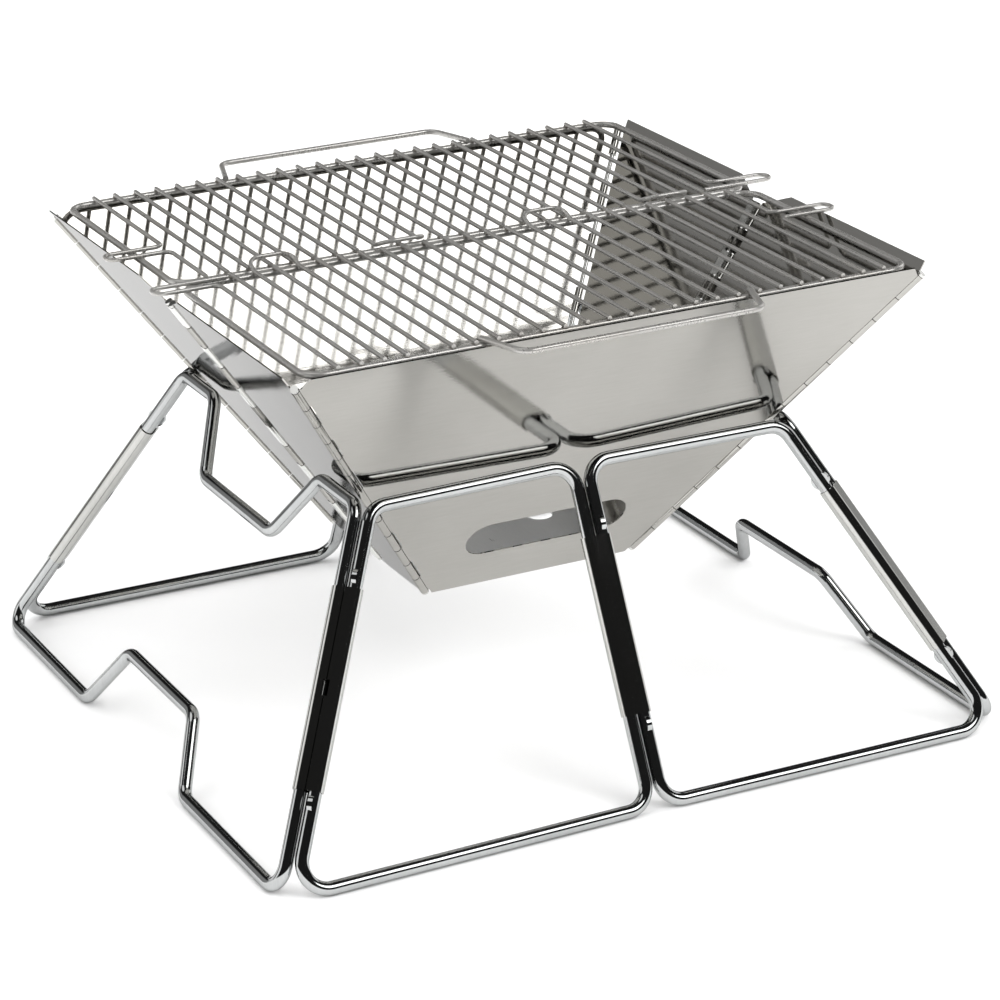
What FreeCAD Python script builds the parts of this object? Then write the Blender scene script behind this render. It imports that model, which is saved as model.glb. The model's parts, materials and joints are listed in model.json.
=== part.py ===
import FreeCAD, Part
import math
import os

# Folding camp grill: a six-legged wire stand, a four-sided folding hopper of sheet
# steel, and a wire grate in two halves.  Millimetres, +Z up, -Y is the front.
# Origin: the centre of the feet on the ground.

V = FreeCAD.Vector
UP = V(0, 0, 1)
OUT = "parts"

# Stand wire and sleeves
STAND_WIRE_R = 4.0
STAND_BEND = 14.0
CRANK_BEND = 11.0
FOOT_HALF_X = 229.0
FOOT_HALF_Y = 219.0
LEG_APEX_Z = 438.8
FOOT_Z = STAND_WIRE_R
STAND_TOP_Z = 182.0
WIRE_HALF_PITCH = 4.3
CRANK_OUTER_Y = 78.0
CRANK_INNER_Y = 50.0
CRANK_TOP_Z = 143.5
CRANK_FOOT_Z = 41.0
SLEEVE_LOW_Z = 51.0
SLEEVE_HIGH_Z = 144.0
SLEEVE_WALL = 0.8
SLEEVE_CLEARANCE = 0.08
SEAM_WIDTH = 0.6
SEAM_NOTCH_WIDTH = 4.0
SEAM_NOTCH_LENGTH = 9.0
EAR_R = 5.6
EAR_THICKNESS = 2.8
EAR_GAP = 6.5
OPEN_LEG_SPREAD = 6.0

# Hopper: an upside-down pyramid cut off above its point
HOPPER_APEX_Z = -7.0
RIM_Z = 284.0
RIM_HALF_X = 200.0
RIM_HALF_Y = 185.0
HOPPER_FOOT_Z = 92.0
SHEET = 0.8
SHEET_INSET = 0.3
BARREL_R = 2.5
PIN_R = 1.5
PIN_CLEARANCE = 0.08
PIN_HEAD_R = 2.3
PIN_HEAD_LENGTH = 1.6
EDGE_SETBACK = 3.0
OPEN_EDGE_SETBACK = 6.0
HINGE_SEGMENTS = 13
HINGE_GAP = 0.6
CORNER_HINGE_LOW_Z = 94.0
CORNER_HINGE_HIGH_Z = 277.0
MID_HINGE_HIGH_Z = 273.0
MID_PIN_HALF_PITCH = 2.8
PANEL_CHAMFER = (12.0, 6.0)
GUSSET_CORNER_CHAMFER = (8.0, 6.0)
GUSSET_MID_CHAMFER = (27.0, 9.0)
VENT_Z = 129.0
VENT_LENGTH = 105.0
VENT_HEIGHT = 28.0

# Plates inside the hopper
COAL_GRID_Z = 150.0
COAL_GRID_THICKNESS = 1.5
COAL_GRID_CORNER = 14.0
COAL_SLOT = (7.0, 50.0)
COAL_SLOT_PITCH = (19.0, 60.0)
COAL_SLOT_COUNT = (9, 3)
ASH_PLATE_Z = 97.0
ASH_PLATE_THICKNESS = 1.0
ASH_PLATE_CORNER = 8.0
ASH_FINGER_HOLE_R = 8.0
ASH_FINGER_HOLE_X = 40.0
WALL_GAP = 1.0
HINGE_NOTCH_DEPTH = 4.0
HINGE_NOTCH_HALF_WIDTH = 7.5

# Grate
BORDER_R = 2.0
ROD_R = 1.3
HANDLE_R = 1.8
WELD = 0.2
REST_GAP = 0.3
ROD_COUNT = 26
FIRST_ROD_X = 170.0
BORDER_HALF_X = 188.0
BORDER_FRONT_Y = -180.0
BORDER_MIDDLE_Y = -3.4
BORDER_BEND = 12.0
ROD_OVERHANG = 1.5
HOOK_RODS = ((3, 5), (16, 18))
HOOK_ROOT_Y = -6.0
HOOK_TIP_Y = 5.8
HOOK_RISE = 4.8
HOOK_BEND = 7.5
LUG_TIP_X = 208.0
LUG_WIDTH = 11.4
LUG_BEND = 5.5
LEFT_LUG_Y = -17.0
RIGHT_LUG_Y = -68.0
LUG_TAIL_X = 160.0
HANDLE_ROOT_X = 84.0
HANDLE_TIP_X = 74.0
HANDLE_ROOT_Y = -178.0
HANDLE_TIP_Y = -210.0
HANDLE_BEND = 9.0

ROD_Z = RIM_Z + REST_GAP + ROD_R
BORDER_Z = ROD_Z - ROD_R - BORDER_R + WELD
HANDLE_Z = BORDER_Z + BORDER_R + HANDLE_R - WELD

# The legs, anticlockwise seen from above, from the back left corner
LEGS = (
    ("back_left", -1, 1),
    ("front_left", -1, -1),
    ("front_middle", 0, -1),
    ("front_right", 1, -1),
    ("back_right", 1, 1),
    ("back_middle", 0, 1),
)


def export(name, shape):
    """Write one named piece."""
    shape.exportStep(os.path.join(OUT, name + ".step"))


def placed(shape, origin, x_dir, z_dir):
    """Move a shape drawn at the world origin to a new origin, X and Z direction."""
    moved = shape.copy()
    turn = FreeCAD.Rotation(x_dir, z_dir.cross(x_dir), z_dir, "ZXY")
    moved.Placement = FreeCAD.Placement(origin, turn)
    return moved


def rounded_path(points, bend):
    """Straight runs through the points, with a tangent arc at each inner point."""
    edges = []
    start = points[0]
    for before, corner, after in zip(points, points[1:], points[2:]):
        back = (before - corner).normalize()
        ahead = (after - corner).normalize()
        half = back.getAngle(ahead) / 2.0
        reach = bend / math.tan(half)
        bisector = (back + ahead).normalize()
        middle = corner + bisector * (bend / math.sin(half) - bend)
        edges.append(Part.makeLine(start, corner + back * reach))
        edges.append(Part.Arc(corner + back * reach, middle, corner + ahead * reach).toShape())
        start = corner + ahead * reach
    edges.append(Part.makeLine(start, points[-1]))
    return Part.Wire(edges)


def rod(points, radius, bend):
    """Round wire bent through the points."""
    path = rounded_path(points, bend)
    profile = Part.Wire(Part.makeCircle(radius, points[0], points[1] - points[0]))
    return path.makePipeShell([profile], True, False)


def closed_rod(points, radius, bend):
    """Round wire bent into a closed loop, as two halves that meet end to end."""
    half = len(points) // 2
    near = (points[0] + points[1]) * 0.5
    far = (points[half] + points[half + 1]) * 0.5
    first = rod([near] + points[1:half + 1] + [far], radius, bend)
    second = rod([far] + points[half + 1:] + [points[0], near], radius, bend)
    return first.fuse(second)


def stadium(length, width, height):
    """A block with rounded ends, lying along X, centred on the world origin in X and Y."""
    radius = width / 2.0
    reach = length / 2.0 - radius
    edges = [
        Part.makeLine(V(-reach, -radius, 0), V(reach, -radius, 0)),
        Part.Arc(V(reach, -radius, 0), V(reach + radius, 0, 0), V(reach, radius, 0)).toShape(),
        Part.makeLine(V(reach, radius, 0), V(-reach, radius, 0)),
        Part.Arc(V(-reach, radius, 0), V(-reach - radius, 0, 0), V(-reach, -radius, 0)).toShape(),
    ]
    return Part.Face(Part.Wire(edges)).extrude(V(0, 0, height))


# ---- Stand ----------------------------------------------------------------------


def leg_point(leg, z):
    """Point on a leg's centre line at a height."""
    fraction = (LEG_APEX_Z - z) / (LEG_APEX_Z - FOOT_Z)
    return V(leg[1] * FOOT_HALF_X * fraction, leg[2] * FOOT_HALF_Y * fraction, z)


def leg_up(leg):
    """Unit vector up a leg."""
    return (V(0, 0, LEG_APEX_Z) - leg_point(leg, FOOT_Z)).normalize()


def leg_across(leg):
    """Level unit vector across a leg, from the wire of one loop to the wire of the next."""
    return leg_up(leg).cross(UP).normalize()


def wire_point(leg, side, z):
    """Point on one of a leg's two wires; side is +1 or -1."""
    return leg_point(leg, z) + leg_across(leg) * (side * WIRE_HALF_PITCH)


def crank_point(leg, side, y, z):
    """Point of a side loop's crank, in the plane of that loop."""
    return V(wire_point(leg, side, z).x, y, z)


def plain_loop(first, second, spread=0.0):
    """Trapezoid loop between two neighbouring legs; spread moves it clear of the first."""
    clear = leg_across(first) * spread
    points = [
        wire_point(first, 1, FOOT_Z) + clear,
        wire_point(first, 1, STAND_TOP_Z) + clear,
        wire_point(second, -1, STAND_TOP_Z),
        wire_point(second, -1, FOOT_Z),
    ]
    return closed_rod(points, STAND_WIRE_R, STAND_BEND)


def cranked_run(leg, side, y_sign, level_z, crank_z):
    """The crank's two corners on one half of a top or foot bar, outer one first."""
    outer = crank_point(leg, side, y_sign * CRANK_OUTER_Y, level_z)
    inner = crank_point(leg, side, y_sign * CRANK_INNER_Y, crank_z)
    return [outer, inner]


def side_loop(first, second):
    """Loop at one end of the stand: its top bar steps down and its foot bar steps up."""
    lead = first[2]
    top = cranked_run(first, 1, lead, STAND_TOP_Z, CRANK_TOP_Z)
    top += reversed(cranked_run(first, 1, -lead, STAND_TOP_Z, CRANK_TOP_Z))
    foot = cranked_run(first, 1, -lead, FOOT_Z, CRANK_FOOT_Z)
    foot += reversed(cranked_run(first, 1, lead, FOOT_Z, CRANK_FOOT_Z))
    corners = [wire_point(first, 1, FOOT_Z), wire_point(first, 1, STAND_TOP_Z)]
    corners += top
    corners += [wire_point(second, -1, STAND_TOP_Z), wire_point(second, -1, FOOT_Z)]
    corners += foot
    return closed_rod(corners, STAND_WIRE_R, CRANK_BEND)


def ear(leg, side, z):
    """Pinched ear on a leg wire that stops the sleeve sliding."""
    axis = leg_across(leg)
    base = wire_point(leg, side, z) - axis * (EAR_THICKNESS / 2.0)
    return Part.makeCylinder(EAR_R, EAR_THICKNESS, base, axis)


def with_ears(loop, leg, side):
    """Add the ears above and below a leg's sleeve to a loop."""
    rise = EAR_GAP * leg_up(leg).z
    high = ear(leg, side, SLEEVE_HIGH_Z + rise)
    low = ear(leg, side, SLEEVE_LOW_Z - rise)
    return loop.fuse([high, low])


def sleeve(leg, seam_side):
    """Flat tube round a leg's two wires, with its seam and a notch half way up."""
    low = leg_point(leg, SLEEVE_LOW_Z)
    length = (leg_point(leg, SLEEVE_HIGH_Z) - low).Length
    bore_width = 2.0 * (STAND_WIRE_R + SLEEVE_CLEARANCE)
    bore_length = bore_width + 2.0 * WIRE_HALF_PITCH
    outer = stadium(bore_length + 2.0 * SLEEVE_WALL, bore_width + 2.0 * SLEEVE_WALL, length)
    bore = stadium(bore_length, bore_width, length)
    depth = 2.0 * SLEEVE_WALL
    wall_y = seam_side * (bore_width + SLEEVE_WALL) / 2.0 - depth / 2.0
    seam = Part.makeBox(SEAM_WIDTH, depth, length, V(-SEAM_WIDTH / 2.0, wall_y, 0))
    notch_low = (length - SEAM_NOTCH_LENGTH) / 2.0
    notch = Part.makeBox(SEAM_NOTCH_WIDTH, depth, SEAM_NOTCH_LENGTH,
                         V(-SEAM_NOTCH_WIDTH / 2.0, wall_y, notch_low))
    return placed(outer.cut([bore, seam, notch]), low, leg_across(leg), leg_up(leg))


def open_sleeve(leg):
    """Sleeve clipped round one wire only and open towards the other wire."""
    low = leg_point(leg, SLEEVE_LOW_Z)
    length = (leg_point(leg, SLEEVE_HIGH_Z) - low).Length
    bore_r = STAND_WIRE_R + SLEEVE_CLEARANCE
    outer_r = bore_r + SLEEVE_WALL
    centre = V(-WIRE_HALF_PITCH, 0, 0)
    tube = Part.makeCylinder(outer_r, length, centre).cut(Part.makeCylinder(bore_r, length, centre))
    mouth = Part.makeBox(2.0 * outer_r, 4.0 * outer_r, length,
                         V(-WIRE_HALF_PITCH + bore_r / 2.0, -2.0 * outer_r, 0))
    return placed(tube.cut(mouth), low, leg_across(leg), leg_up(leg))


def build_stand():
    """Six loops and six sleeves."""
    back_left, front_left, front_middle, front_right, back_right, back_middle = LEGS
    front_left_loop = with_ears(plain_loop(front_left, front_middle), front_left, 1)
    front_right_loop = with_ears(plain_loop(front_middle, front_right), front_middle, 1)
    front_right_loop = with_ears(front_right_loop, front_right, -1)
    back_right_loop = plain_loop(back_right, back_middle, OPEN_LEG_SPREAD)
    back_right_loop = with_ears(back_right_loop, back_middle, -1)
    back_left_loop = with_ears(plain_loop(back_middle, back_left), back_left, -1)
    export("stand_loop_left", side_loop(back_left, front_left))
    export("stand_loop_right", side_loop(front_right, back_right))
    export("stand_loop_front_left", front_left_loop)
    export("stand_loop_front_right", front_right_loop)
    export("stand_loop_back_left", back_left_loop)
    export("stand_loop_back_right", back_right_loop)
    for leg in (back_left, front_middle, front_right, back_middle):
        export("leg_sleeve_" + leg[0], sleeve(leg, 1))
    export("leg_sleeve_" + front_left[0], sleeve(front_left, -1))
    export("leg_sleeve_" + back_right[0], open_sleeve(back_right))


# ---- Hopper ---------------------------------------------------------------------


def hopper_edge(x_sign, y_sign, shift_y=0.0):
    """A line down the hopper's surface, as a point and a unit vector upwards."""
    rise = RIM_Z - HOPPER_APEX_Z
    direction = V(x_sign * RIM_HALF_X, y_sign * RIM_HALF_Y, rise).normalize()
    return V(0, shift_y, HOPPER_APEX_Z), direction


def on_edge(edge, z):
    """Point of an edge at a height."""
    return edge[0] + edge[1] * ((z - edge[0].z) / edge[1].z)


def inward(edge, other):
    """Unit vector in the sheet, square to one edge and towards the other."""
    return (other[1] - edge[1] * edge[1].dot(other[1])).normalize()


def inset_point(edge, inset_dir, distance, z):
    """Point at a height on the line parallel to an edge, some way into the sheet."""
    return on_edge(edge, z - distance * inset_dir.z) + inset_dir * distance


def outward(edge, other):
    """Unit normal of a sheet, pointing out of the hopper."""
    normal = edge[1].cross(other[1]).normalize()
    return normal if normal.z < 0 else normal * -1.0


def hinge_spans(edge, high_z):
    """Start point and length of each knuckle position along an edge, from the bottom."""
    low = on_edge(edge, CORNER_HINGE_LOW_Z)
    pitch = (on_edge(edge, high_z) - low).Length / HINGE_SEGMENTS
    starts = [low + edge[1] * (pitch * index + HINGE_GAP / 2.0) for index in range(HINGE_SEGMENTS)]
    return starts, pitch - HINGE_GAP


def knuckles(edge, inset_dir, normal, high_z, first):
    """Rolled barrels at every other position, each joined to the sheet by a tab."""
    starts, length = hinge_spans(edge, high_z)
    pieces = []
    for start in starts[first::2]:
        pieces.append(Part.makeCylinder(BARREL_R, length, start, edge[1]))
        root = start + normal * SHEET_INSET
        corners = [root, root + edge[1] * length]
        reach = inset_dir * (EDGE_SETBACK + 1.0)
        corners += [corners[1] + reach, corners[0] + reach, corners[0]]
        pieces.append(Part.Face(Part.makePolygon(corners)).extrude(normal * SHEET))
    return pieces


def pin_bore(edge, high_z):
    """Clearance bore for a hinge pin."""
    low = on_edge(edge, CORNER_HINGE_LOW_Z - 5.0)
    length = (on_edge(edge, high_z + 5.0) - low).Length
    return Part.makeCylinder(PIN_R + PIN_CLEARANCE, length, low, edge[1])


def sheet(edges, setbacks, chamfers):
    """Flat trapezoid between two edges, with both rim corners cut off."""
    first, second = edges
    normal = outward(first, second)
    in_first = inward(first, second)
    in_second = inward(second, first)
    along = (on_edge(second, RIM_Z) - on_edge(first, RIM_Z)).normalize()
    corners = [
        inset_point(first, in_first, setbacks[0], HOPPER_FOOT_Z),
        inset_point(second, in_second, setbacks[1], HOPPER_FOOT_Z),
        inset_point(second, in_second, setbacks[1], RIM_Z - chamfers[1][1]),
        on_edge(second, RIM_Z) - along * chamfers[1][0],
        on_edge(first, RIM_Z) + along * chamfers[0][0],
        inset_point(first, in_first, setbacks[0], RIM_Z - chamfers[0][1]),
    ]
    outline = Part.makePolygon([corner + normal * SHEET_INSET for corner in corners + corners[:1]])
    return Part.Face(outline).extrude(normal * SHEET)


def vent(edges):
    """Cutter for the long air slot low in a panel."""
    normal = outward(*edges)
    centre = (on_edge(edges[0], VENT_Z) + on_edge(edges[1], VENT_Z)) * 0.5
    slot = stadium(VENT_LENGTH, VENT_HEIGHT, 4.0 * SHEET)
    return placed(slot, centre - normal * (2.0 * SHEET), V(1, 0, 0), normal)


def panel(y_sign):
    """Front or back panel, hinged to a gusset at each end."""
    edges = (hopper_edge(-1, y_sign), hopper_edge(1, y_sign))
    normal = outward(*edges)
    body = sheet(edges, (EDGE_SETBACK, EDGE_SETBACK), (PANEL_CHAMFER, PANEL_CHAMFER))
    pieces = knuckles(edges[0], inward(edges[0], edges[1]), normal, CORNER_HINGE_HIGH_Z, 0)
    pieces += knuckles(edges[1], inward(edges[1], edges[0]), normal, CORNER_HINGE_HIGH_Z, 0)
    bores = [pin_bore(edge, CORNER_HINGE_HIGH_Z) for edge in edges]
    return body.fuse(pieces).cut(bores + [vent(edges)])


def gusset(x_sign, y_sign, corner_hinged=True):
    """Half of a folding end wall."""
    corner = hopper_edge(x_sign, y_sign)
    middle = hopper_edge(x_sign, 0, y_sign * MID_PIN_HALF_PITCH)
    normal = outward(corner, middle)
    setback = EDGE_SETBACK if corner_hinged else OPEN_EDGE_SETBACK
    chamfers = (GUSSET_CORNER_CHAMFER, GUSSET_MID_CHAMFER)
    body = sheet((corner, middle), (setback, EDGE_SETBACK), chamfers)
    pieces = knuckles(middle, inward(middle, corner), normal, MID_HINGE_HIGH_Z, 1)
    if corner_hinged:
        pieces += knuckles(corner, inward(corner, middle), normal, CORNER_HINGE_HIGH_Z, 1)
    bores = [pin_bore(middle, MID_HINGE_HIGH_Z), pin_bore(corner, CORNER_HINGE_HIGH_Z)]
    return body.fuse(pieces).cut(bores)


def hinge_pin(edge, high_z):
    """Hinge pin with a flattened head at each end."""
    low = on_edge(edge, CORNER_HINGE_LOW_Z) - edge[1] * PIN_HEAD_LENGTH
    high = on_edge(edge, high_z)
    shank = Part.makeCylinder(PIN_R, (high - low).Length + PIN_HEAD_LENGTH, low, edge[1])
    low_head = Part.makeCylinder(PIN_HEAD_R, PIN_HEAD_LENGTH, low, edge[1])
    high_head = Part.makeCylinder(PIN_HEAD_R, PIN_HEAD_LENGTH, high, edge[1])
    return shank.fuse([low_head, high_head])


def mid_links(x_sign):
    """Links that each wrap both pins of an end wall's middle hinge."""
    centre = hopper_edge(x_sign, 0)
    pins = [hopper_edge(x_sign, 0, side * MID_PIN_HALF_PITCH) for side in (-1, 1)]
    starts, length = hinge_spans(centre, MID_HINGE_HIGH_Z)
    block = stadium(2.0 * (BARREL_R + MID_PIN_HALF_PITCH), 2.0 * BARREL_R, length)
    links = [placed(block, start, V(0, 1, 0), centre[1]) for start in starts[0::2]]
    bores = [pin_bore(pin, MID_HINGE_HIGH_Z) for pin in pins]
    return Part.makeCompound([link.cut(bores) for link in links])


def wall_plate(z, thickness, corner):
    """Level plate that fills the hopper at a height: corners cut off, ends notched for the hinges."""
    scale = (z - HOPPER_APEX_Z) / (RIM_Z - HOPPER_APEX_Z)
    half_x = RIM_HALF_X * scale - WALL_GAP
    half_y = RIM_HALF_Y * scale - WALL_GAP
    right_end = [
        (half_x - corner, -half_y), (half_x, -half_y + corner),
        (half_x, -HINGE_NOTCH_HALF_WIDTH), (half_x - HINGE_NOTCH_DEPTH, -HINGE_NOTCH_HALF_WIDTH),
        (half_x - HINGE_NOTCH_DEPTH, HINGE_NOTCH_HALF_WIDTH), (half_x, HINGE_NOTCH_HALF_WIDTH),
        (half_x, half_y - corner), (half_x - corner, half_y),
    ]
    left_end = [(-x, -y) for x, y in right_end]
    outline = [V(x, y, z) for x, y in right_end + left_end]
    return Part.Face(Part.makePolygon(outline + outline[:1])).extrude(V(0, 0, thickness))


def coal_grid():
    """Slotted plate that carries the charcoal above the air slots."""
    plate = wall_plate(COAL_GRID_Z, COAL_GRID_THICKNESS, COAL_GRID_CORNER)
    slot = stadium(COAL_SLOT[1], COAL_SLOT[0], 3.0 * COAL_GRID_THICKNESS)
    cutters = []
    for column in range(COAL_SLOT_COUNT[0]):
        for row in range(COAL_SLOT_COUNT[1]):
            x = (column - (COAL_SLOT_COUNT[0] - 1) / 2.0) * COAL_SLOT_PITCH[0]
            y = (row - (COAL_SLOT_COUNT[1] - 1) / 2.0) * COAL_SLOT_PITCH[1]
            origin = V(x, y, COAL_GRID_Z - COAL_GRID_THICKNESS)
            cutters.append(placed(slot, origin, V(0, 1, 0), UP))
    return plate.cut(cutters)


def ash_plate():
    """Removable floor of the hopper, with two finger holes."""
    plate = wall_plate(ASH_PLATE_Z, ASH_PLATE_THICKNESS, ASH_PLATE_CORNER)
    depth = 3.0 * ASH_PLATE_THICKNESS
    holes = []
    for side in (-1, 1):
        base = V(side * ASH_FINGER_HOLE_X, 0, ASH_PLATE_Z - ASH_PLATE_THICKNESS)
        holes.append(Part.makeCylinder(ASH_FINGER_HOLE_R, depth, base))
    return plate.cut(holes)


def build_hopper():
    """Two panels, four gussets, their pins and links, and the plates inside."""
    export("hopper_panel_front", panel(-1))
    export("hopper_panel_back", panel(1))
    export("hopper_gusset_left_front", gusset(-1, -1))
    export("hopper_gusset_left_back", gusset(-1, 1))
    export("hopper_gusset_right_front", gusset(1, -1))
    export("hopper_gusset_right_back", gusset(1, 1, corner_hinged=False))
    for x_sign, end in ((-1, "left"), (1, "right")):
        export("mid_hinge_links_" + end, mid_links(x_sign))
        for y_sign, face in ((-1, "front"), (1, "back")):
            corner = hopper_edge(x_sign, y_sign)
            middle = hopper_edge(x_sign, 0, y_sign * MID_PIN_HALF_PITCH)
            export("corner_pin_" + face + "_" + end, hinge_pin(corner, CORNER_HINGE_HIGH_Z))
            export("mid_hinge_pin_" + end + "_" + face, hinge_pin(middle, MID_HINGE_HIGH_Z))
    export("charcoal_grid", coal_grid())
    export("ash_plate", ash_plate())


# ---- Grate ----------------------------------------------------------------------


def rod_x(number):
    """X of a cross rod, numbered from the left."""
    return FIRST_ROD_X * (2.0 * (number - 1) / (ROD_COUNT - 1) - 1.0)


def grate_border():
    """Heavier wire round one half of the grate."""
    points = [
        V(-BORDER_HALF_X, BORDER_FRONT_Y, BORDER_Z),
        V(BORDER_HALF_X, BORDER_FRONT_Y, BORDER_Z),
        V(BORDER_HALF_X, BORDER_MIDDLE_Y, BORDER_Z),
        V(-BORDER_HALF_X, BORDER_MIDDLE_Y, BORDER_Z),
    ]
    return closed_rod(points, BORDER_R, BORDER_BEND)


def grate_rods():
    """The straight cross rods."""
    hooked = [number for pair in HOOK_RODS for number in pair]
    front_y = BORDER_FRONT_Y - ROD_OVERHANG
    length = BORDER_MIDDLE_Y + ROD_OVERHANG - front_y
    rods = []
    for number in range(2, ROD_COUNT):
        if number not in hooked:
            rods.append(Part.makeCylinder(ROD_R, length, V(rod_x(number), front_y, ROD_Z), V(0, 1, 0)))
    return Part.makeCompound(rods)


def grate_hooks():
    """Pairs of rods bridged by a staple that reaches over the other half's border."""
    front_y = BORDER_FRONT_Y - ROD_OVERHANG
    tip_z = ROD_Z + HOOK_RISE
    hooks = []
    for first, second in HOOK_RODS:
        points = [
            V(rod_x(first), front_y, ROD_Z),
            V(rod_x(first), HOOK_ROOT_Y, ROD_Z),
            V(rod_x(first), HOOK_TIP_Y, tip_z),
            V(rod_x(second), HOOK_TIP_Y, tip_z),
            V(rod_x(second), HOOK_ROOT_Y, ROD_Z),
            V(rod_x(second), front_y, ROD_Z),
        ]
        hooks.append(rod(points, ROD_R, HOOK_BEND))
    return Part.makeCompound(hooks)


def grate_lugs():
    """Outer cross rods, each with a hairpin that rests on the hopper's end rim."""
    front_y = BORDER_FRONT_Y - ROD_OVERHANG
    left = [
        V(-FIRST_ROD_X, front_y, ROD_Z),
        V(-FIRST_ROD_X, LEFT_LUG_Y, ROD_Z),
        V(-LUG_TIP_X, LEFT_LUG_Y, ROD_Z),
        V(-LUG_TIP_X, LEFT_LUG_Y + LUG_WIDTH, ROD_Z),
        V(-LUG_TAIL_X, LEFT_LUG_Y + LUG_WIDTH, ROD_Z),
    ]
    right = [
        V(FIRST_ROD_X, front_y, ROD_Z),
        V(FIRST_ROD_X, RIGHT_LUG_Y, ROD_Z),
        V(LUG_TIP_X, RIGHT_LUG_Y, ROD_Z),
        V(LUG_TIP_X, RIGHT_LUG_Y + LUG_WIDTH, ROD_Z),
        V(FIRST_ROD_X, RIGHT_LUG_Y + LUG_WIDTH, ROD_Z),
        V(FIRST_ROD_X, BORDER_MIDDLE_Y + ROD_OVERHANG, ROD_Z),
    ]
    return Part.makeCompound([rod(left, ROD_R, LUG_BEND), rod(right, ROD_R, LUG_BEND)])


def grate_handle():
    """Trapezoid handle that also rests on the hopper's rim."""
    points = [
        V(-HANDLE_ROOT_X, HANDLE_ROOT_Y, HANDLE_Z),
        V(-HANDLE_TIP_X, HANDLE_TIP_Y, HANDLE_Z),
        V(HANDLE_TIP_X, HANDLE_TIP_Y, HANDLE_Z),
        V(HANDLE_ROOT_X, HANDLE_ROOT_Y, HANDLE_Z),
    ]
    return rod(points, HANDLE_R, HANDLE_BEND)


def build_grate():
    """Two equal halves, the back one turned half round."""
    pieces = {
        "border": grate_border(),
        "rods": grate_rods(),
        "hooks": grate_hooks(),
        "lugs": grate_lugs(),
        "handle": grate_handle(),
    }
    for name, shape in pieces.items():
        export("grate_front_" + name, shape)
        turned = shape.copy()
        turned.rotate(V(0, 0, 0), UP, 180.0)
        export("grate_back_" + name, turned)


def main():
    """Build and write every piece."""
    os.makedirs(OUT, exist_ok=True)
    build_stand()
    build_hopper()
    build_grate()


main()
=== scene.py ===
import json
import math

import bpy
from mathutils import Matrix, Vector, noise


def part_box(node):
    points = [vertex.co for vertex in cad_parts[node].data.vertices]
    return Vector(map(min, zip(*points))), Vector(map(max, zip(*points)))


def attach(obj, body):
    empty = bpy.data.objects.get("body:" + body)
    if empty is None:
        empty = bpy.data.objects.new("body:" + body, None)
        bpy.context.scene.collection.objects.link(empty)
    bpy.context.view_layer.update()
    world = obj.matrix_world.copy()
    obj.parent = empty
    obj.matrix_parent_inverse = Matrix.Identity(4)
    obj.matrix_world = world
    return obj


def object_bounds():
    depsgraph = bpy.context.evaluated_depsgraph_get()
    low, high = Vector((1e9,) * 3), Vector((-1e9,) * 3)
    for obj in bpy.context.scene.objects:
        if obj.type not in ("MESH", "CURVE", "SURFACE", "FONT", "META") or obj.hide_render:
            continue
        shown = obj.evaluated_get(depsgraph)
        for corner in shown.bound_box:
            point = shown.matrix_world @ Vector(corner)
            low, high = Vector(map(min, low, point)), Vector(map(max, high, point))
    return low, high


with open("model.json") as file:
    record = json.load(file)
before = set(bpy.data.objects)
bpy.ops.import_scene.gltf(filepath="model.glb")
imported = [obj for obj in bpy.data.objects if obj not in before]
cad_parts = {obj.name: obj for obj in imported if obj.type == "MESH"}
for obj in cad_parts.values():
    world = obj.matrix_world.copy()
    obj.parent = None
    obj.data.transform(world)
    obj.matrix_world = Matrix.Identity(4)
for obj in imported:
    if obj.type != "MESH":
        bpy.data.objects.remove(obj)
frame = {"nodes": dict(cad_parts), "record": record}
cad_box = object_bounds()

# Where the camera aims: off the middle in x, up from the floor, as shares of the box
CAMERA_AIM = (0.030, 0.384)
# Camera, in degrees, metres and, for lens and sensor, millimetres
STUDIO_VIEW = {"azimuth": -26.3, "elevation": 21.4, "roll": -1.3, "distance": 2.196, "lens": 129.6}
SENSOR_WIDTH = 36.0
FAR_CLIP = 60.0
FLOOR_HALF = 9.0
# Weld beads. In metres: gap that parts two rods, depth of an end face, half sizes.
# Then rings and steps of the mesh, and depth, scale and shift of its lumps.
ROD_SPLIT = 0.004
END_DEPTH = 1e-5
BEAD_RADII = (0.0021, 0.0018, 0.0009)
BEAD_RINGS = 8
BEAD_STEPS = 12
BEAD_LUMP = 0.25
LUMP_SCALE = 1.7
LUMP_SHIFT = 900.0
# Room seen in the metal: its brightness, the horizon's, and the heights between which
# the horizon fades into the room
DARK_ROOM = 0.018
HORIZON_GLOW = 0.85
HORIZON_LOW = 0.01
HORIZON_TOP = 0.07
# Direction, cosine where the patch is full, cosine where it ends, brightness
SOFTBOXES = (
    ((0.41, -0.60, 0.69), 0.972, 0.960, 3.6),
    ((0.93, 0.34, 0.40), 0.970, 0.940, 1.2),
    ((-0.90, 0.35, 0.30), 0.975, 0.940, 1.2),
    ((-0.40, 0.06, 0.91), 0.970, 0.945, 1.1),
    ((-0.48, 0.83, 0.27), 0.970, 0.920, 0.30),
)


# ---- Materials --------------------------------------------------------------


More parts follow.
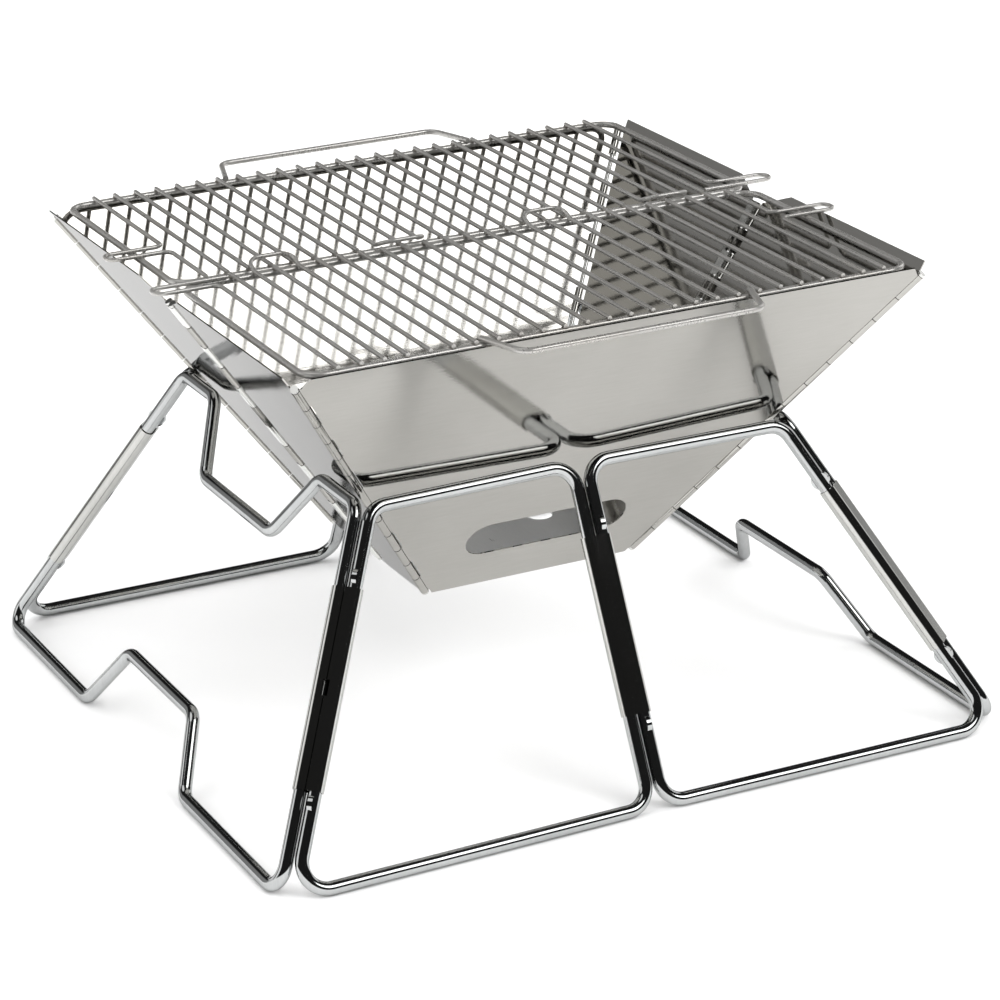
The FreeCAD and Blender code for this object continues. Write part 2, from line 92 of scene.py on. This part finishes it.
class Nodes:
    """Small helper round one node tree."""

    def __init__(self, tree):
        self.tree = tree
        self.tree.nodes.clear()

    def add(self, kind, inputs=None, **settings):
        node = self.tree.nodes.new(kind)
        for name, value in settings.items():
            setattr(node, name, value)
        for name, value in (inputs or {}).items():
            socket = node.inputs[name]
            if isinstance(value, bpy.types.NodeSocket):
                self.tree.links.new(value, socket)
            else:
                socket.default_value = value
        return node

    def coords(self, scale=(1, 1, 1)):
        """Object coordinates, stretched."""
        place = self.add("ShaderNodeTexCoord")
        stretch = self.add("ShaderNodeMapping", {"Vector": place.outputs["Object"], "Scale": scale})
        return stretch.outputs["Vector"]

    def noise(self, vector, scale, detail=4.0, roughness=0.55):
        node = self.add("ShaderNodeTexNoise",
                        {"Vector": vector, "Scale": scale, "Detail": detail, "Roughness": roughness})
        return node.outputs["Fac"]

    def ramp(self, fac, stops):
        """Colour ramp from (position, colour) pairs."""
        node = self.add("ShaderNodeValToRGB", {"Fac": fac})
        elements = node.color_ramp.elements
        while len(elements) < len(stops):
            elements.new(0.5)
        for element, (position, colour) in zip(elements, stops):
            element.position = position
            element.color = (*colour, 1.0)
        return node.outputs["Color"]

    def remap(self, value, low, high, to_low, to_high):
        node = self.add("ShaderNodeMapRange",
                        {"Value": value, "From Min": low, "From Max": high,
                         "To Min": to_low, "To Max": to_high})
        return node.outputs["Result"]

    def mix(self, fac, first, second):
        node = self.add("ShaderNodeMix", data_type="RGBA")
        for socket, value in ((node.inputs[0], fac), (node.inputs[6], first), (node.inputs[7], second)):
            if isinstance(value, bpy.types.NodeSocket):
                self.tree.links.new(value, socket)
            else:
                socket.default_value = value
        return node.outputs[2]

    def math(self, operation, first, second):
        node = self.add("ShaderNodeMath", operation=operation)
        for socket, value in zip(node.inputs, (first, second)):
            if isinstance(value, bpy.types.NodeSocket):
                self.tree.links.new(value, socket)
            else:
                socket.default_value = value
        return node.outputs[0]

    def bump(self, height, strength, distance, normal=None):
        inputs = {"Height": height, "Strength": strength, "Distance": distance}
        if normal is not None:
            inputs["Normal"] = normal
        return self.add("ShaderNodeBump", inputs).outputs["Normal"]

    def finish(self, inputs, **constants):
        shader = self.add("ShaderNodeBsdfPrincipled", inputs)
        for name, value in constants.items():
            shader.inputs[name.replace("_", " ")].default_value = value
        output = self.add("ShaderNodeOutputMaterial")
        self.tree.links.new(shader.outputs["BSDF"], output.inputs["Surface"])


def material(name):
    made = bpy.data.materials.new(name)
    made.use_nodes = True
    return made, Nodes(made.node_tree)


def metal(name, dark, light, roughness, streaks, streak_roughness, wave, grain=0.10, tint=None, metallic=1.0,
          edge=1.0):
    """Bare metal: cloudy tone, fine drawn streaks, slight waviness, a few soft smudges."""
    made, n = material(name)
    plain = n.coords()
    cloud = n.noise(plain, 9.0, 3.0)
    streak = n.noise(n.coords(streaks), 60.0, 6.0, 0.7)
    smudge = n.noise(plain, 26.0, 5.0, 0.6)
    tone = n.math("ADD", n.math("MULTIPLY", cloud, 0.6), n.math("MULTIPLY", streak, 0.4))
    colour = n.ramp(tone, [(0.32, dark), (0.68, light)])
    if tint is not None:
        patches = n.remap(n.noise(plain, 14.0, 4.0), 0.52, 0.74, 0.0, tint[1])
        colour = n.mix(patches, colour, (*tint[0], 1.0))
    base = n.remap(smudge, 0.3, 0.75, roughness[0], roughness[1])
    rough = n.math("ADD", base, n.remap(streak, 0.35, 0.7, 0.0, streak_roughness))
    broad = n.bump(n.noise(plain, wave[0], 2.0), wave[1], 0.004)
    fine = n.bump(streak, grain, 0.0004, broad)
    n.finish({"Base Color": colour, "Roughness": rough, "Normal": fine},
             Metallic=metallic, Specular_Tint=(edge, edge, edge, 1.0))
    return made


def build_materials():
    return {
        "sheet": metal("bright_rolled_sheet", (0.43, 0.42, 0.395), (0.50, 0.49, 0.465),
                       (0.030, 0.060), (1.0, 1.0, 14.0), 0.012, (5.0, 0.05), 0.03, edge=0.5),
        "hinge": metal("rolled_barrel", (0.66, 0.66, 0.63), (0.82, 0.82, 0.80),
                       (0.10, 0.18), (6.0, 6.0, 1.0), 0.06, (40.0, 0.08)),
        "pin": metal("drawn_pin", (0.60, 0.60, 0.58), (0.78, 0.78, 0.76),
                     (0.10, 0.2), (8.0, 8.0, 1.0), 0.08, (50.0, 0.08)),
        "stand_wire": metal("polished_stand_wire", (0.42, 0.43, 0.43), (0.56, 0.57, 0.57),
                            (0.03, 0.07), (10.0, 10.0, 1.0), 0.03, (30.0, 0.08), 0.06, edge=0.6),
        "sleeve": metal("polished_sleeve", (0.46, 0.46, 0.44), (0.60, 0.60, 0.58),
                        (0.02, 0.05), (12.0, 12.0, 1.0), 0.03, (22.0, 0.06), 0.06, edge=0.6),
        "grate_wire": metal("plated_grate_wire", (0.40, 0.39, 0.37), (0.56, 0.55, 0.53),
                            (0.20, 0.32), (14.0, 1.0, 14.0), 0.08, (60.0, 0.12),
                            tint=((0.44, 0.40, 0.35), 0.35), metallic=0.72),
        "weld": metal("weld_bead", (0.34, 0.31, 0.28), (0.55, 0.52, 0.48),
                      (0.22, 0.35), (8.0, 8.0, 8.0), 0.10, (90.0, 0.20)),
        # Inner plate: painted light. Its base colour is far brighter, and it is less metallic, than the
        # outer sheet, standing in for light bounced round the inside of the hopper.
        "inner_plate": metal("inner_plate_painted_bright", (0.80, 0.80, 0.79), (0.90, 0.90, 0.89),
                             (0.24, 0.38), (12.0, 1.0, 1.0), 0.10, (10.0, 0.10), metallic=0.45),
    }


def dress(frame, materials):
    """Give every CAD node the material of its slot."""
    for entry in frame["record"]["subparts"]:
        node = frame["nodes"][entry["node"]]
        node.data.materials.clear()
        node.data.materials.append(materials[entry["material_slot"]])


# ---- Welds ------------------------------------------------------------------


def rod_places(node):
    """Where the parallel rods of a node lie in x, read off their end faces."""
    low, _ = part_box(node)
    vertices = frame["nodes"][node].data.vertices
    ends = sorted(vertex.co.x for vertex in vertices if vertex.co.y - low.y < END_DEPTH)
    groups = [[ends[0]]]
    for x in ends[1:]:
        if x - groups[-1][-1] > ROD_SPLIT:
            groups.append([])
        groups[-1].append(x)
    return [(group[0] + group[-1]) / 2 for group in groups]


def add_bead(vertices, faces, centre, radii):
    """Lumpy flattened blob of weld metal between two crossing wires."""
    first = len(vertices)
    for ring in range(BEAD_RINGS + 1):
        tilt = math.pi * ring / BEAD_RINGS
        for step in range(BEAD_STEPS):
            turn = 2 * math.pi * step / BEAD_STEPS
            way = Vector((math.sin(tilt) * math.cos(turn), math.sin(tilt) * math.sin(turn), math.cos(tilt)))
            lump = 1.0 + BEAD_LUMP * noise.noise(way * LUMP_SCALE + centre * LUMP_SHIFT)
            vertices.append(centre + Vector(radii) * way * lump)
    for ring in range(BEAD_RINGS):
        for step in range(BEAD_STEPS):
            after = (step + 1) % BEAD_STEPS
            row, next_row = first + ring * BEAD_STEPS, first + (ring + 1) * BEAD_STEPS
            faces.append((row + step, next_row + step, next_row + after, row + after))


def build_welds(half, made):
    """One mesh of weld beads where the rods of one grate half cross its border wire."""
    border_low, border_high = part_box(half + "_border")
    wire = (border_high.z - border_low.z) / 2
    touch = (border_high.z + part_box(half + "_rods")[0].z) / 2
    vertices, faces = [], []
    for x in rod_places(half + "_rods"):
        for y in (border_low.y + wire, border_high.y - wire):
            add_bead(vertices, faces, Vector((x, y, touch)), BEAD_RADII)
    mesh = bpy.data.meshes.new(half + "_weld_beads")
    mesh.from_pydata(vertices, [], faces)
    mesh.polygons.foreach_set("use_smooth", [True] * len(faces))
    mesh.materials.append(made)
    beads = bpy.data.objects.new(half + "_weld_beads", mesh)
    bpy.context.scene.collection.objects.link(beads)
    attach(beads, half)


# ---- Studio -----------------------------------------------------------------


def build_floor():
    corners = [(-FLOOR_HALF, -FLOOR_HALF, 0), (FLOOR_HALF, -FLOOR_HALF, 0),
               (FLOOR_HALF, FLOOR_HALF, 0), (-FLOOR_HALF, FLOOR_HALF, 0)]
    mesh = bpy.data.meshes.new("studio_floor")
    mesh.from_pydata(corners, [], [(0, 1, 2, 3)])
    floor = bpy.data.objects.new("studio_floor", mesh)
    bpy.context.scene.collection.objects.link(floor)
    made, n = material("studio_floor")
    tone = n.ramp(n.noise(n.coords(), 3.0), [(0.3, (0.88, 0.88, 0.88)), (0.7, (0.91, 0.91, 0.91))])
    n.finish({"Base Color": tone}, Roughness=0.75)
    mesh.materials.append(made)


def area_light(name, place, target, size, power):
    light = bpy.data.lights.new(name, "AREA")
    light.shape = "RECTANGLE"
    light.size, light.size_y = size
    light.energy = power
    holder = bpy.data.objects.new(name, light)
    bpy.context.scene.collection.objects.link(holder)
    holder.location = place
    holder.rotation_euler = (Vector(target) - Vector(place)).to_track_quat("-Z", "Y").to_euler()
    return holder


def softbox(n, place, aim, inner, outer, strength):
    """Bright round patch of the room, in the direction aim; inner and outer are cosines."""
    facing = n.add("ShaderNodeVectorMath", {0: place, 1: Vector(aim).normalized()}, operation="DOT_PRODUCT")
    return n.remap(facing.outputs["Value"], outer, inner, 0.0, strength)


def build_world():
    """Dark studio with a glow along the horizon and softboxes, as polished metal shows what is round it."""
    world = bpy.data.worlds.new("studio_room")
    bpy.context.scene.world = world
    world.use_nodes = True
    n = Nodes(world.node_tree)
    place = n.add("ShaderNodeTexCoord").outputs["Generated"]
    height = n.add("ShaderNodeSeparateXYZ", {"Vector": place}).outputs["Z"]
    level = n.remap(height, HORIZON_LOW, HORIZON_TOP, HORIZON_GLOW, DARK_ROOM)
    for aim, inner, outer, strength in SOFTBOXES:
        level = n.math("ADD", level, softbox(n, place, aim, inner, outer, strength))
    background = n.add("ShaderNodeBackground", {"Color": (1, 1, 1, 1), "Strength": level})
    output = n.add("ShaderNodeOutputWorld")
    n.tree.links.new(background.outputs["Background"], output.inputs["Surface"])


def build_lights(centre):
    """Soft lights that metal doesn't mirror, since it mirrors the room instead."""
    fills = (
        ("top_fill", Vector((0.0, 0.0, 3.2)), (7.0, 7.0), 210),
        ("front_fill", Vector((0.6, -3.2, 1.8)), (3.0, 2.0), 60),
        ("back_fill", Vector((-0.6, 3.4, 1.6)), (3.5, 2.0), 60),
        ("left_fill", Vector((-3.4, -0.4, 1.4)), (3.0, 2.0), 50),
        ("right_fill", Vector((3.4, 0.4, 1.4)), (3.0, 2.0), 50),
    )
    for name, offset, size, power in fills:
        area_light(name, centre + offset, centre, size, power).visible_glossy = False


def build_camera(low, high):
    azimuth = math.radians(STUDIO_VIEW["azimuth"])
    elevation = math.radians(STUDIO_VIEW["elevation"])
    roll = math.radians(STUDIO_VIEW["roll"])
    right = Vector((math.cos(azimuth), math.sin(azimuth), 0))
    back = Vector((math.sin(azimuth) * math.cos(elevation), -math.cos(azimuth) * math.cos(elevation),
                   math.sin(elevation)))
    up = back.cross(right)
    x_axis = right * math.cos(roll) + up * math.sin(roll)
    y_axis = back.cross(x_axis)
    target = Vector(((low.x + high.x) / 2 + CAMERA_AIM[0] * (high.x - low.x), (low.y + high.y) / 2,
                     low.z + CAMERA_AIM[1] * (high.z - low.z)))
    camera = bpy.data.objects.new("camera", bpy.data.cameras.new("camera"))
    bpy.context.scene.collection.objects.link(camera)
    camera.data.lens = STUDIO_VIEW["lens"]
    camera.data.sensor_width = SENSOR_WIDTH
    camera.data.clip_end = FAR_CLIP
    turn = Matrix((x_axis, y_axis, back)).transposed().to_4x4()
    camera.matrix_world = Matrix.Translation(target + back * STUDIO_VIEW["distance"]) @ turn
    bpy.context.scene.camera = camera


def as_vectors(box):
    return Vector(box[0]), Vector(box[1])


low, high = as_vectors(cad_box)
materials = build_materials()
dress(frame, materials)
for half in ("grate_front", "grate_back"):
    build_welds(half, materials["weld"])
build_floor()
build_world()
build_lights((low + high) / 2)
build_camera(low, high)
bpy.context.scene.view_settings.view_transform = "Standard"
